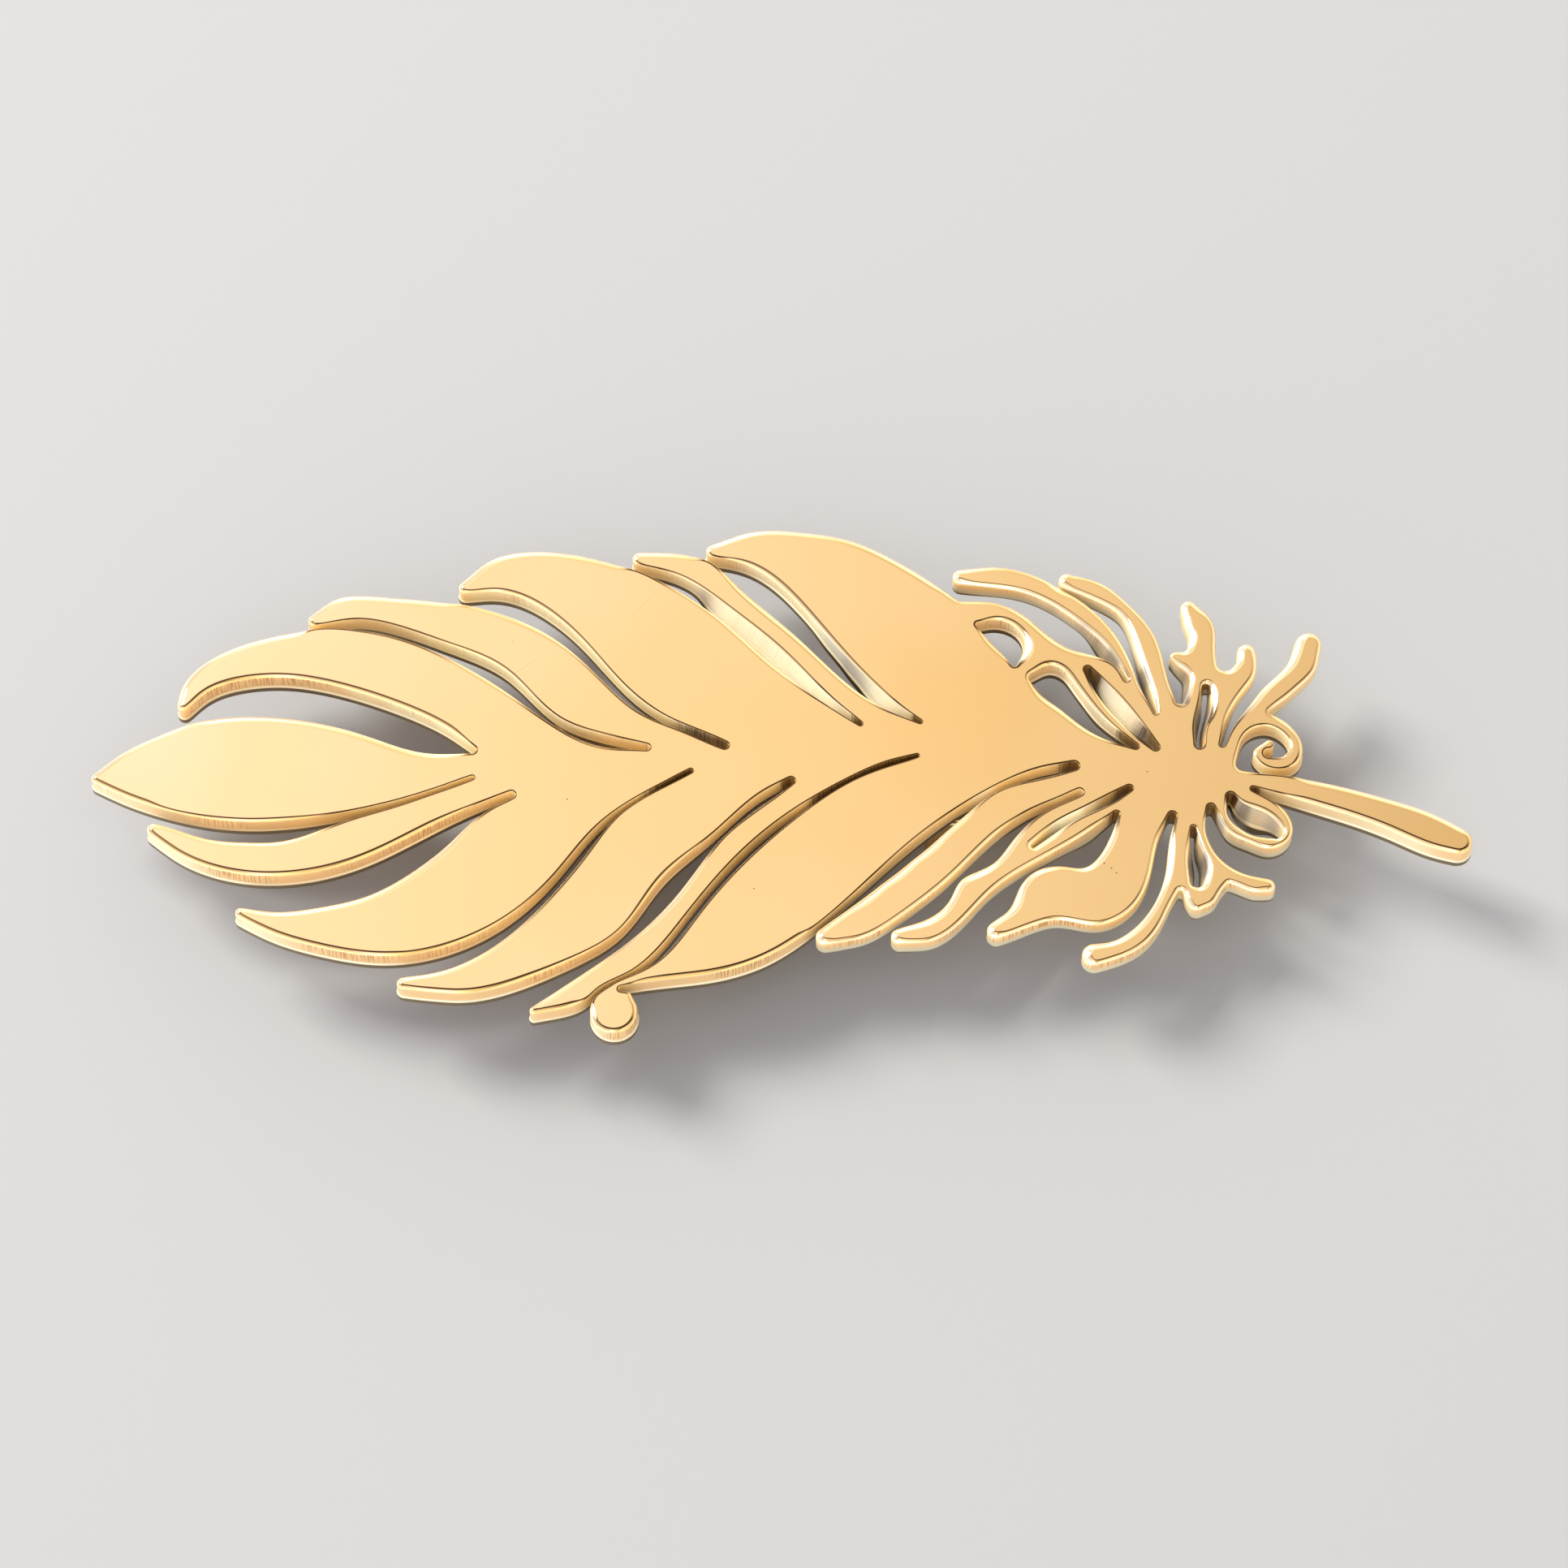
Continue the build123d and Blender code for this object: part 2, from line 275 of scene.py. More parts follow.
feather = {
    "node": "feather_plate",
    "name": "polished_feather",
    "length": 70.0,                    # mm, which "along" is thousandths of
    "width": 28.0,                     # mm, which "across" is thousandths of
    "start": (-34.9545, -0.4607),      # mm, where both are 0: the tip, and the line of the leaf's middle
    "fineStep": 0.03,                  # mm between the points that sizes are worked out at
    "step": (0.035, 0.16),             # mm between neighbouring points, in tight and in slow bends
    "stepShare": 0.30,                 # of the bend's radius
    "hairInside": 0.002,               # mm that the piece keeps inside the plate's outline
    "shoulder": (0.095, 0.05),         # mm over which the face first turns down, and beside a saw cut
    "shoulderTurn": 10.0,              # degrees that it turns there
    "edge": (0.03, 0.19),              # mm of rounding beside a saw cut, and at a free edge
    "bevel": 0.13,                     # mm more where the edge looks up and to the left
    "bevelWay": (-0.5, 0.866),         # that way
    "edgeGap": (0.12, 0.7),            # mm, the radius of the free space that gives these
    "edgeLimit": 0.72,                 # of the half width of the metal
    "lip": 0.070,                      # mm that the foot of the wall stands out
    "lipLean": 40.0,                   # degrees that the wall leans there
    "lipTop": 0.65,                    # mm over the underside, where it starts
    "lipEdge": 0.50,                   # and where it stands out furthest
    "foot": 0.12,                      # mm of rounding at the underside
    "strandFoot": 0.56,                # mm of rounding under the strands
    "strandEdge": (0.20, 0.34),        # mm of rounding on the strands, at their right and at their left
    "strandLeft": (-0.93, 0.36),       # the way that counts as left there
    "tip": (1.1, 0.62),                # mm from a strand's tip where it rounds more, and how wide
    "evenOut": 0.5,                    # mm along the outline over which sizes change
    # where walls slope: the way out from the wall's top to its foot, and its steepness, for the last rings
    "webSteps": ((0.0, 0.5), (0.62, 0.8), (0.66, 0.6), (0.76, 0.5), (0.80, 0.5), (0.92, 0.4),
                 (1.0, 0.0), (1.0, 0.0)),
    "wallRing": 5,                     # the ring where the polished face ends and the sawn wall begins
    "edgeShade": (0.0, 0.6, 1.0, 0.4),       # how dark the painted shade line along the edge is, ring by ring
    "slitShade": (0.0, 0.9, 1.0, 1.0, 1.0, 0.9, 0.6),  # and the painted shade along a narrow slit
}

# the two fields of downy strands, in thousandths of the length and of the width
strandFields = (
    ((505, -380), (519, -300), (545, -243), (575, -176), (605, -110), (640, -40), (662, -92), (738, -82),
     (781, -96), (797, -110), (811, -82), (840, -78), (885, -72), (900, -200), (860, -400), (700, -450)),
    ((605, 480), (630, 398), (662, 378), (705, 322), (751, 222), (771, 155), (790, 182), (809, 190),
     (822, 112), (838, 150), (857, 145), (900, 190), (920, 340), (760, 520)),
)


# the edge in steps: the bevel's turn in degrees, its way in and down as shares of the edge's width,
# and the turn of a plain rounding
bevelProfile = (
    (24.0, 0.72, 0.086, 25.0),
    (31.0, 0.45, 0.226, 40.0),
    (37.0, 0.20, 0.395, 56.0),
    (52.0, 0.04, 0.555, 73.0),
    (90.0, 0.00, 0.700, 90.0),
)


# places where the edge slopes off further: along and across in thousandths, reach and width in mm
wideSlopes = (
    (683, 263, 1.1, 0.52),
    (631, 411, 1.0, 0.5),
    (708, 408, 0.9, 0.36),
    (800, 329, 1.6, 0.5),
    (838, 262, 0.9, 0.35),
    (878, 270, 1.8, 0.46),
    (748, 169, 1.2, 0.42),
    (804, 169, 1.6, 0.42),
    (643, -189, 1.3, 0.46),
    (694, -186, 1.0, 0.40),
    (672, -244, 1.2, 0.46),
    (722, -342, 1.6, 0.44),
    (568, -234, 1.6, 0.50),
    (590, -193, 1.6, 0.50),
    (611, -138, 1.4, 0.46),
    (609, -267, 1.3, 0.48),
)


# places where a grey reflection is painted on the strands' sides: along and across in thousandths, and reach
# in mm
greyReflectionPlaces = (
    (741, 257, 0.68),
    (765, 220, 0.83),
    (787, 184, 0.75),
    (807, 130, 1.12),
    (832, 196, 0.68),
    (719, 318, 0.90),
    (689, 329, 0.68),
    (829, -61, 0.68),
    (799, -159, 0.68),
    (811, -79, 0.60),
)


# the ends of cuts where shade is painted inside: along and across in thousandths, and reach in mm
shadedCutEnds = (
    (460, 76, 1.4),
    (436, 29, 3.6),
    (509, 11, 1.0),
    (594, 55, 2.6),
    (566, 32, 2.6),
    (540, 0, 2.2),
    (559, 121, 1.0),
    (602, 124, 1.0),
    (716, 41, 1.4),
    (754, -6, 1.5),
    (747, -55, 1.1),
    (785, -58, 1.0),
    (797, -85, 0.8),
    (810, -42, 0.9),
    (824, -18, 0.8),
    (840, -6, 0.7),
    (756, 76, 1.8),
    (777, 73, 2.0),
    (724, 232, 1.2),
    (810, 199, 0.7),
)


# places in the cuts: the same, how far the walls slope towards each other there, and how much painted
# highlight they get
slopingWalls = (
    (459, 363, 1.8, 1.0, 1.0),
    (478, 316, 1.8, 1.0, 1.0),
    (497, 268, 1.8, 1.0, 1.0),
    (516, 220, 1.8, 1.0, 1.0),
    (533, 178, 1.5, 1.0, 1.0),
    (741, 173, 1.9, 1.0, 1.0),
    (752, 132, 1.2, 1.0, 0.8),
    (711, -79, 1.7, 1.0, 1.0),
    (724, -60, 1.2, 1.0, 0.6),
    (650, -31, 1.2, 1.0, 0.6),
    (741, 257, 1.2, 1.0, 0.0),
    (730, 271, 0.9, 0.5, 0.6),
    (765, 220, 1.5, 1.0, 0.2),
    (756, 263, 1.3, 0.3, 0.7),
    (787, 184, 1.3, 1.0, 0.0),
    (807, 130, 2.0, 1.0, 0.0),
    (829, -61, 1.4, 0.8, 0.9),
    (841, -71, 1.1, 0.7, 0.6),
    (799, -159, 2.0, 1.0, 0.2),
    (507, 363, 1.8, 0.0, 0.6),
    (525, 313, 1.8, 0.0, 1.0),
    (543, 258, 2.6, 0.2, 1.0),
    (561, 202, 2.7, 0.45, 1.0),
    (572, 173, 1.8, 1.0, 0.9),
    (200, 160, 2.2, 0.0, 0.5),
    (227, 130, 2.2, 0.0, 0.8),
    (254, 98, 1.8, 0.0, 0.9),
    (253, 281, 2.0, 0.0, 0.7),
    (280, 232, 2.0, 0.0, 0.9),
    (309, 186, 1.8, 0.0, 0.9),
    (287, 391, 2.0, 0.0, 0.5),
    (322, 348, 2.2, 0.0, 0.8),
    (357, 268, 2.2, 0.0, 0.9),
    (382, 196, 1.6, 0.0, 0.9),
)


def fieldPlace(along, across):  # thousandths of the feather's size to millimetres in the frame
    x, y = feather["start"]
    return x + along / 1000.0 * feather["length"], y + across / 1000.0 * feather["width"]


def insideField(points, field):
    corners = np.array([fieldPlace(*corner) for corner in field])
    inside = np.zeros(len(points), bool)
    for (x1, y1), (x2, y2) in zip(corners, np.roll(corners, -1, axis=0)):
        crosses = (y1 > points[:, 1]) != (y2 > points[:, 1])
        reach = x1 + (points[:, 1] - y1) / (y2 - y1 + 1e-12) * (x2 - x1)
        inside ^= crosses & (points[:, 0] < reach)
    return inside


def faceLoops():  # the edge of the CAD plate's face, each loop's points in order, in mm
    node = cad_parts[feather["node"]]
    copy = node.copy()
    copy.data = node.data.copy()
    copy.parent = None
    for key in list(copy.keys()):   # the copy drops the frame's own marks
        del copy[key]
    scene.collection.objects.link(copy)
    activate(copy)
    bpy.ops.object.mode_set(mode="EDIT")
    bpy.ops.mesh.select_all(action="SELECT")
    bpy.ops.mesh.remove_doubles(threshold=1e-7)
    bpy.ops.mesh.select_all(action="DESELECT")
    bpy.ops.mesh.select_mode(type="FACE")
    bpy.ops.object.mode_set(mode="OBJECT")
    for polygon in copy.data.polygons:
        polygon.select = polygon.normal.z > 0.99
    bpy.ops.object.mode_set(mode="EDIT")
    bpy.ops.mesh.region_to_loop()
    bpy.ops.mesh.duplicate()
    bpy.ops.mesh.separate(type="SELECTED")
    bpy.ops.object.mode_set(mode="OBJECT")
    activate(next(o for o in bpy.context.selected_objects if o is not copy))
    bpy.ops.object.convert(target="CURVE")
    rim = bpy.context.object
    loops = [np.array([p.co[:2] for p in spline.points], float) / mm for spline in rim.data.splines]
    for leftOver in (rim, copy):
        bpy.data.objects.remove(leftOver)
    return loops


def turnedArea(points):
    x, y = points.T
    return 0.5 * np.sum(x * np.roll(y, -1) - y * np.roll(x, -1))


def stepLengths(points):
    return np.linalg.norm(np.roll(points, -1, axis=0) - points, axis=1)


def smoothLoop(points, spacing):  # a closed curve through the points, smooth to the second order
    chord = stepLengths(points)
    count = len(points)
    system = np.zeros((count, count))
    rows = np.arange(count)
    before = np.roll(chord, 1)
    system[rows, rows] = 2.0 * (before + chord)
    system[rows, (rows - 1) % count] = before
    system[rows, (rows + 1) % count] = chord
    slope = (np.roll(points, -1, axis=0) - points) / chord[:, None]
    second = np.linalg.solve(system, 6.0 * (slope - np.roll(slope, 1, axis=0)))
    dense = []
    for i in range(count):
        j = (i + 1) % count
        pieces = max(1, int(math.ceil(chord[i] / spacing)))
        gone = np.arange(pieces)[:, None] / pieces * chord[i]
        left = chord[i] - gone
        dense.append((second[i] * left ** 3 + second[j] * gone ** 3) / (6.0 * chord[i])
                     + (points[i] / chord[i] - second[i] * chord[i] / 6.0) * left
                     + (points[j] / chord[i] - second[j] * chord[i] / 6.0) * gone)
    return np.concatenate(dense)


def spread(points, values, width, pick=None):  # values evened out along a loop, the least within pick first
    steps = stepLengths(points)
    total = steps.sum()
    place = np.concatenate([[0.0], np.cumsum(steps)[:-1]])
    even = int(max(32, total / feather["fineStep"]))
    grid = np.arange(even) * total / even
    line = np.interp(grid, np.append(place, total), np.append(values, values[0]))
    if pick is not None:
        reach = max(1, int(pick / total * even))
        line = np.min([np.roll(line, k) for k in range(-reach, reach + 1)], axis=0)
    wave = np.fft.rfftfreq(even, total / even)
    line = np.fft.irfft(np.fft.rfft(line) * np.exp(-2.0 * (math.pi * wave * width) ** 2), even)
    return np.interp(place, np.append(grid, total), np.append(line, line[0]))


def inwardNormals(points):
    ahead = np.roll(points, -1, axis=0) - points
    behind = points - np.roll(points, 1, axis=0)
    aheadLength = np.linalg.norm(ahead, axis=1)[:, None]
    behindLength = np.linalg.norm(behind, axis=1)[:, None]
    tangent = ahead / aheadLength * behindLength + behind / behindLength * aheadLength
    tangent /= np.linalg.norm(tangent, axis=1)[:, None]
    return np.stack([-tangent[:, 1], tangent[:, 0]], axis=1)


def roomBeside(points, normals, others):  # radius of the largest disc that touches here and holds no edge
    widest, nearest, level, batch = 30.0, 0.05, 1e-4, 400
    room = np.full(len(points), widest)
    for first in range(0, len(points), batch):
        part = slice(first, first + batch)
        gap = others[None] - points[part, None]
        square = (gap ** 2).sum(-1)
        ahead = (gap * normals[part, None]).sum(-1)
        counts = (ahead > level) & (square > nearest ** 2)
        radius = np.where(counts, square / (2.0 * np.maximum(ahead, level)), widest)
        room[part] = radius.min(1)
    return room


def sampledLoop(dense):  # fewer points, close together where the outline bends tightly
    normals = inwardNormals(dense)
    steps = stepLengths(dense)
    turn = np.linalg.norm(np.roll(normals, -1, axis=0) - normals, axis=1)
    bend = spread(dense, turn / steps, 0.05)
    wanted = np.clip(feather["stepShare"] / np.maximum(bend, 1e-3), *feather["step"])
    wanted = spread(dense, wanted, 0.1, 0.15)
    share = np.concatenate([[0.0], np.cumsum(steps / wanted)])
    count = int(math.ceil(share[-1]))
    closed = np.vstack([dense, dense[:1]])
    at = np.arange(count) / count * share[-1]
    return np.stack([np.interp(at, share, closed[:, k]) for k in (0, 1)], axis=1)


def outlineOfFeather():
    loops = []
    for number, loop in enumerate(sorted(faceLoops(), key=lambda loop: -abs(turnedArea(loop)))):
        clockwise = turnedArea(loop) < 0.0
        if clockwise == (number == 0):   # the outer loop runs left round, the cuts right round
            loop = loop[::-1]
        loops.append(sampledLoop(smoothLoop(loop, feather["fineStep"])))
    print("outline read:", len(loops), "loops,", sum(len(loop) for loop in loops), "points")
    return loops


def tipsOf(points, metal, strand, around):  # 1 where the outline of a strand turns right round
    reach, slimmest, turnedRound, apart = 0.75, 0.62, 2.2, 1.2   # mm each way, mm, radians and mm
    ahead = np.roll(points, -1, axis=0) - points
    heading = np.unwrap(np.arctan2(ahead[:, 1], ahead[:, 0]))
    turn = heading - np.roll(heading, 1)
    turn[0] = heading[0] - heading[-1] + 2.0 * math.pi * np.sign(turnedArea(points))
    total = np.cumsum(np.tile(turn, 3))
    length = around[-1]
    place = np.concatenate([around[:-1] + k * length for k in range(3)])
    middle = around[:-1] + length
    turned = np.interp(middle + reach, place, total) - np.interp(middle - reach, place, total)
    score = turned * (metal < slimmest) * (strand > 0.5)
    near = np.zeros(len(points))
    while score.max() > turnedRound:
        best = score.argmax()
        away = np.abs(around[:-1] - around[best])
        away = np.minimum(away, length - away)
        near = np.maximum(near, 1.0 - smoothStep(0.4, 1.0, away / feather["tip"][0]))
        score[np.linalg.norm(points - points[best], axis=1) < apart] = 0.0
    return near


def nearTo(points, centre, reach):  # 1 close to the centre, 0 beyond the reach
    return 1.0 - smoothStep(0.4, 1.0, np.linalg.norm(points - centre, axis=1) / reach)


def nearAny(points, places, amount=None):  # how near the points are to any of the places, by its amount
    return np.max([nearTo(points, fieldPlace(*place[:2]), place[2]) * (place[amount] if amount else 1.0)
                   for place in places], axis=0)


def strandShare(points):  # 1 where the outline belongs to a downy strand
    inside = np.zeros(len(points))
    for field in strandFields:
        inside = np.maximum(inside, insideField(points, field))
    return np.clip(spread(points, inside, feather["evenOut"]), 0.0, 1.0)


def edgeWidths(row, metal, limit):  # how far in the rounding of the edge reaches
    points, bevel, strand = row["points"], row["bevel"], row["strand"]
    slim, wide = feather["edge"]
    edge = slim + (wide - slim) * row["open"]
    edge += feather["bevel"] * bevel * row["open"]
    right, left = feather["strandEdge"]
    leftShare = spread(points, smoothStep(0.1, 0.8, -row["normals"] @ np.array(feather["strandLeft"])), 0.2)
    edge += strand * (right + (left - right) * leftShare - edge)
    for along, across, reach, width in wideSlopes:
        share = nearTo(points, fieldPlace(along, across), reach) * bevel
        edge = np.maximum(edge, edge + (width - edge) * share)
    tip = tipsOf(points, metal, strand, row["around"])
    edge = np.maximum(edge, edge + (feather["tip"][1] - edge) * tip)
    edge = spread(points, np.minimum(edge, feather["edgeLimit"] * limit), 0.2)
    return np.minimum(edge, 0.78 * metal)


def cutWalls(row, space):  # how the walls in the cuts slope, and where painted highlight, painted grey reflection and painted shade go on them
    points, normals, strand = row["points"], row["normals"], row["strand"]
    middle = points - normals * np.minimum(space, 1.0)[:, None]
    down = smoothStep(0.2, 0.6, normals[:, 1])
    up = smoothStep(0.2, 0.6, -normals[:, 1])
    gap = np.minimum(spread(points, np.minimum(space, 1.0), 0.2, 0.2), 0.65)
    web = nearAny(middle, slopingWalls, 3) * 2.0 * gap * (1.0 - up) * (0.47 + 0.38 * down)
    web = np.maximum(spread(points, web, 0.5), 0.0)
    # painted highlight on walls that face the left light
    leftWay = smoothStep(0.18, 0.50, normals[:, 0]) * smoothStep(0.1, 0.4, normals[:, 1])
    leftWallHighlight = 0.85 * spread(points, leftWay, 0.3) * (1.0 - 0.5 * strand)
    return {"web": web, "slope": np.clip(web / 0.25, 0.0, 1.0),
            "cream": np.maximum(nearAny(middle, slopingWalls, 4), leftWallHighlight),
            "smoke": nearAny(middle, greyReflectionPlaces), "deep": nearAny(points, shadedCutEnds)}


def sizesAlong(points, everything):  # rounding, lip, foot and looks at each point of one loop
    normals = inwardNormals(points)
    metal = roomBeside(points, normals, everything)
    space = roomBeside(points, -normals, everything)
    limit = spread(points, np.minimum(metal, 3.0), 0.15, 0.25)
    openShare = smoothStep(*feather["edgeGap"], spread(points, np.minimum(space, 2.0), feather["evenOut"]))
    bevel = spread(points, smoothStep(-0.15, 0.5, -normals @ np.array(feather["bevelWay"])), 0.15)
    bevel = np.clip(bevel, 0.0, 1.0)
    strand = strandShare(points)
    row = {"points": points, "normals": normals, "open": openShare, "bevel": bevel, "strand": strand,
           "around": np.concatenate([[0.0], np.cumsum(stepLengths(points))]),
           # painted highlight on edges that face the upper left, and on the strands
           "pale": np.maximum(bevel, 0.85 * strand)}
    row["edge"] = edgeWidths(row, metal, limit)
    wide, slim = feather["shoulder"]
    shoulder = (slim + (wide - slim) * openShare) * (1.0 - 0.45 * strand)
    row["shoulder"] = np.minimum(shoulder, 0.16 * metal)
    row["lip"] = np.clip(spread(points, openShare * (1.0 - strand), 1.4), 0.0, 1.0)
    foot = feather["foot"] * (1.0 - strand) + feather["strandFoot"] * strand
    row["foot"] = np.minimum(spread(points, np.minimum(foot, 0.8 * limit), 0.2), 0.85 * metal)
    row["slit"] = smoothStep(0.55, 0.85, 1.0 - openShare) * (1.0 - strand)
    # painted shade: a dark line along edges whose wall faces -Y, and in narrow slits
    line = np.maximum(smoothStep(0.0, 0.5, normals[:, 1]) * (1.0 - 0.4 * strand), row["slit"])
    row["line"] = spread(points, line, 0.1)
    row.update(cutWalls(row, space))
    return row


def profileOf(row, top, bottom):  # rings from the face over the edge to the underside: inset, height, turn
    edge, shoulder, foot, bevel, web = (row[name] for name in ("edge", "shoulder", "foot", "bevel", "web"))
    lip = feather["lip"] * row["lip"]
    firstTurn = math.radians(feather["shoulderTurn"])
    rings = [(lip + edge + shoulder, top, 0.0)]
    for share in (0.5, 1.0):
        turn = firstTurn * share
        drop = shoulder * share * math.tan(turn / 2.0)
        rings.append((lip + edge + shoulder * (1.0 - share), top - drop, turn))
    startDrop = shoulder * math.tan(firstTurn / 2.0)
    for bevelTurn, bevelIn, bevelDrop, roundTurn in bevelProfile:
        turn = math.radians(roundTurn)
        roundIn = (1.0 - math.sin(turn)) / (1.0 - math.sin(firstTurn))
        roundDrop = (math.cos(firstTurn) - math.cos(turn)) / (1.0 - math.sin(firstTurn))
        rings.append((lip + edge * (roundIn + (bevelIn - roundIn) * bevel),
                      top - startDrop - edge * (roundDrop + (bevelDrop - roundDrop) * bevel),
                      turn + (math.radians(bevelTurn) - turn) * bevel))
    upright = math.radians(90.0)
    lipTurn = upright - math.radians(feather["lipLean"]) * row["lip"]
    lipTop = bottom + np.maximum(feather["lipTop"], foot + 0.1)
    lipEdge = bottom + np.maximum(feather["lipEdge"], foot + 0.05)
    rings.append((lip, lipTop, upright))
    for share in (0.75, 0.12):
        rings.append((share * lip, share * lipTop + (1.0 - share) * lipEdge, lipTurn))
    rings.append((0.0, lipEdge - 0.04, upright))
    rings.append((0.0, bottom + foot, upright))
    for degrees in (135.0, 180.0):
        turn = math.radians(degrees)
        rings.append((foot * (1.0 - math.sin(turn)), bottom + foot * (1.0 + math.cos(turn)), turn))
    rings = [np.broadcast_arrays(*ring, edge)[:3] for ring in rings]
    firstWeb = len(rings) - len(feather["webSteps"])
    for k, (out, steepness) in enumerate(feather["webSteps"], firstWeb):
        inset, height, turn = rings[k]
        rings[k] = (inset - out * web, height, turn - np.arctan(steepness * web))
    return rings


def ringsOf(rows, top, bottom):  # where each point of each ring lies and which way it faces, in mm
    profiles = [profileOf(row, top, bottom) for row in rows]
    place = np.zeros((len(profiles[0]), sum(len(row["points"]) for row in rows), 3))
    facing = np.zeros_like(place)
    start = 0
    for row, rings in zip(rows, profiles):
        part = slice(start, start + len(row["points"]))
        start = part.stop
        for k, (inset, height, turn) in enumerate(rings):
            place[k, part, :2] = row["points"] + row["normals"] * (inset + feather["hairInside"])[:, None]
            place[k, part, 2] = height
            facing[k, part, :2] = -row["normals"] * np.sin(turn)[:, None]
            facing[k, part, 2] = np.cos(turn)
    return place, facing


def extrudeRings(rows, place):  # the first ring's edges, extruded once for each step of the profile
    edges = []
    for row in rows:
        start, count = len(edges), len(row["points"])
        edges += [(start + i, start + (i + 1) % count) for i in range(count)]
    flat = np.zeros(place.shape[1:])
    flat[:, :2] = place[0, :, :2] * mm
    mesh = bpy.data.meshes.new(feather["name"])
    mesh.from_pydata(flat.tolist(), edges, [])
    piece = bpy.data.objects.new(feather["name"], mesh)
    scene.collection.objects.link(piece)
    activate(piece)
    bpy.ops.object.mode_set(mode="EDIT")
    bpy.ops.mesh.select_mode(type="EDGE")
    bpy.ops.mesh.select_all(action="SELECT")
    for k in range(1, len(place)):   # a metre down each time, so that the height tells the ring
        bpy.ops.mesh.extrude_edges_move(TRANSFORM_OT_translate={"value": (0.0, 0.0, -1.0)})
    bpy.ops.object.mode_set(mode="OBJECT")
    made = np.zeros(len(mesh.vertices) * 3)
    mesh.vertices.foreach_get("co", made)
    made = made.reshape(-1, 3)
    ring = np.rint(-made[:, 2]).astype(int)
    column = np.zeros(len(made), int)
    order = np.lexsort((flat[:, 1].astype("f"), flat[:, 0].astype("f")))
    for k in range(len(place)):
        own = np.flatnonzero(ring == k)
        column[own[np.lexsort((made[own, 1].astype("f"), made[own, 0].astype("f")))]] = order
    mesh.vertices.foreach_set("co", (place[ring, column] * mm).ravel())
    mesh.update()
    print("feather rings shaped")
    return piece, ring, column


def closeFeather(mesh, ring):  # the face and the underside are filled, the cuts left open
    for rim in (0, ring.max()):
        bpy.ops.object.mode_set(mode="OBJECT")
        pair = np.zeros(len(mesh.edges) * 2, int)
        mesh.edges.foreach_get("vertices", pair)
        mesh.vertices.foreach_set("select", ring == rim)
        mesh.edges.foreach_set("select", (ring[pair.reshape(-1, 2)] == rim).all(1))
        mesh.polygons.foreach_set("select", np.zeros(len(mesh.polygons), bool))
        bpy.ops.object.mode_set(mode="EDIT")
        bpy.ops.mesh.fill(use_beauty=False)
        bpy.ops.mesh.beautify_fill(angle_limit=math.pi)
    bpy.ops.mesh.select_all(action="SELECT")
    bpy.ops.mesh.normals_make_consistent(inside=False)
    bpy.ops.object.mode_set(mode="OBJECT")
    print("feather closed")


def faceCorners(mesh):  # the vertex at each corner, and each face's first corner
    corner = np.zeros(len(mesh.loops), int)
    mesh.loops.foreach_get("vertex_index", corner)
    first = np.zeros(len(mesh.polygons), int)
    mesh.polygons.foreach_get("loop_start", first)
    return corner, first


def mapEdge(mesh, rows, place, ring, column):  # millimetres round the outline, and millimetres up
    corner, first = faceCorners(mesh)
    around = np.concatenate([row["around"][:-1] for row in rows])[column[corner]]
    length = np.concatenate([np.full(len(row["points"]), row["around"][-1]) for row in rows])[column[corner]]
    owner = np.repeat(np.arange(len(first)), np.diff(np.append(first, len(corner))))
    furthest = np.maximum.reduceat(around, first)[owner]
    u = np.where(furthest - around > 0.5 * length, around + length, around)   # no face runs back to 0
    v = place[ring, column, 2][corner]
    layer = mesh.uv_layers.new(name="edge")
    layer.data.foreach_set("uv", np.stack([u, v], axis=1).ravel())


def markFeather(mesh, rows, ring, column):  # which gold each face has, and the shares that the gold reads
    corner, first = faceCorners(mesh)
    highest = np.minimum.reduceat(ring[corner], first)
    kind = np.where(highest >= ring.max(), 2, np.where(highest >= feather["wallRing"], 1, 0))
    mesh.polygons.foreach_set("material_index", kind)
    mesh.polygons.foreach_set("use_smooth", np.ones(len(mesh.polygons), bool))
    edgeShade, slitShade = (np.append(feather[name], np.zeros(ring.max() + 1))[ring] for name in ("edgeShade", "slitShade"))
    names = ("strand", "open", "lip", "smoke", "pale", "deep", "cream", "slope", "line", "slit")
    shares = {name: np.concatenate([row[name] for row in rows])[column] for name in names}
    # the painted shade line, ring by ring
    shares["line"] = np.maximum(shares["line"] * edgeShade, shares.pop("slit") * slitShade)
    for name, values in shares.items():
        attribute = mesh.attributes.new(name, "FLOAT", "POINT")
        attribute.data.foreach_set("value", values.astype("f"))


def makeFeather():
    low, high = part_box(feather["node"])
    loops = outlineOfFeather()
    everything = np.concatenate(loops)
    rows = [sizesAlong(points, everything) for points in loops]
    place, facing = ringsOf(rows, high.z / mm, low.z / mm)
    piece, ring, column = extrudeRings(rows, place)
    mesh = piece.data
    closeFeather(mesh, ring)
    mapEdge(mesh, rows, place, ring, column)
    markFeather(mesh, rows, ring, column)
    mesh.normals_split_custom_set_from_vertices(facing[ring, column].tolist())
    for material in (polishedGold(), sawnGold(), grainedGold("castGold")):
        mesh.materials.append(material)
    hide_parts(feather["node"])
    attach(piece, "root")
    print("feather made:", len(mesh.polygons), "faces")


# the gold

